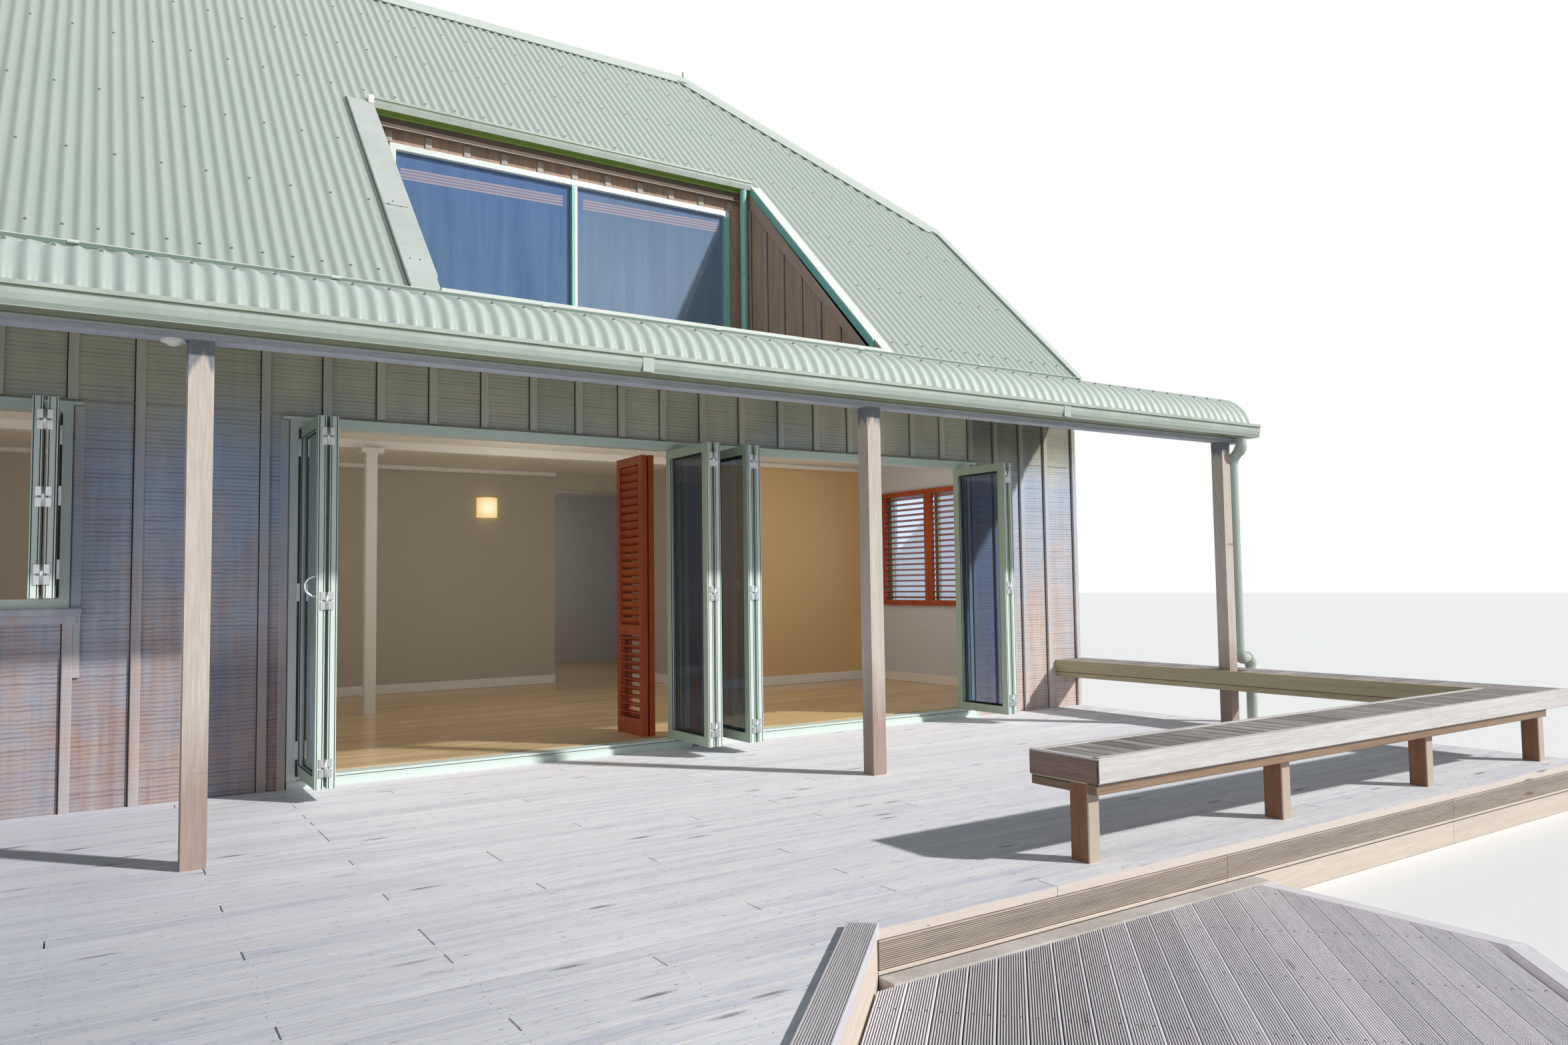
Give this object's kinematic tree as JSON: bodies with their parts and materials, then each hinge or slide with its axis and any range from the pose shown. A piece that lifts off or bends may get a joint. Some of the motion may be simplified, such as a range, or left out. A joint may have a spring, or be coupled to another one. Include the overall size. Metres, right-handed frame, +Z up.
{
  "type": "beach house",
  "caption": "Timber beach house with a steep half-hipped corrugated roof, inset dormer, bullnose verandah, folding glass doors, stepped deck and fixed benches.",
  "frame": {"origin": "ground level under the middle of the house, below the ridge", "axes": "+Z up, +X to the right along the front wall, +Y from the front wall to the back wall"},
  "size_m": [10.4842, 12.883, 6.845],
  "materials": {
    "concrete": "cast concrete",
    "floor_wood": "honey timber strip, polished",
    "white_paint": "painted board, matt",
    "wall_paint": "painted board, matt",
    "cream_paint": "painted board, matt",
    "plywood": "weathered band-sawn plywood with battens",
    "rafter_wood": "sawn timber",
    "roof_steel": "corrugated steel, pale sage",
    "green_trim": "folded steel, sage",
    "brown_boards": "brown boards and battens",
    "pale_frame": "aluminium frame, pale",
    "glass": "clear window glass",
    "grey_wood": "weathered grey timber",
    "post_wood": "weathered square post",
    "frame_green": "powder-coated aluminium, sage",
    "silver_metal": "hinges and pivots",
    "shutter_wood": "orange-brown stained louvres",
    "lamp_glass": "lit square shade",
    "deck_wood": "bleached deck boards",
    "brown_timber": "brown grooved fascia",
    "grooved_wood": "grey grooved boards",
    "bench_wood": "weathered bench timber"
  },
  "bodies": {
    "root": {"foundation": "concrete", "floor": "floor_wood", "upper_floor": "white_paint", "front_wall_left": "plywood", "front_wall_sill": "plywood", "front_wall_pier": "plywood", "door_mullion": "plywood", "front_wall_right": "plywood", "front_wall_head": "plywood", "back_wall": "plywood", "left_end_wall": "plywood", "right_end_wall": "plywood", "partition_left": "wall_paint", "partition_head": "wall_paint", "partition_return": "wall_paint", "room_back_wall": "cream_paint", "inner_column": "white_paint", "wall_lamp": "lamp_glass", "front_rafters": "rafter_wood", "back_rafters": "rafter_wood", "hip_rafters": "rafter_wood", "front_roof_sheet": "roof_steel", "back_roof_sheet": "roof_steel", "hip_sheets": "roof_steel", "barge_boards": "green_trim", "roof_caps": "roof_steel", "dormer_floor": "roof_steel", "dormer_cheeks": "brown_boards", "dormer_kerb": "green_trim", "dormer_wall": "brown_boards", "dormer_window": "pale_frame", "dormer_glass": "glass", "dormer_gutter": "green_trim", "dormer_flashings": "green_trim", "verandah_roof": "roof_steel", "verandah_rafters": "rafter_wood", "gutters": "green_trim", "verandah_beam": "grey_wood", "verandah_posts": "post_wood", "verandah_downpipe": "green_trim", "bulkhead_light": "white_paint", "door_frame_left": "frame_green", "door_frame_right": "frame_green", "door_leaves": "frame_green", "door_glass": "glass", "door_hardware": "silver_metal", "front_window": "frame_green", "window_leaves": "frame_green", "end_windows": "frame_green", "back_windows": "frame_green", "window_glass": "glass", "inside_shutter": "shutter_wood", "window_shutters": "shutter_wood", "upper_deck": "deck_wood", "deck_framing": "brown_timber", "step_boards": "brown_timber", "deck_lip": "concrete", "deck_kerb": "deck_wood", "lower_deck": "grooved_wood", "benches": "bench_wood"}
  },
  "joints": []
}
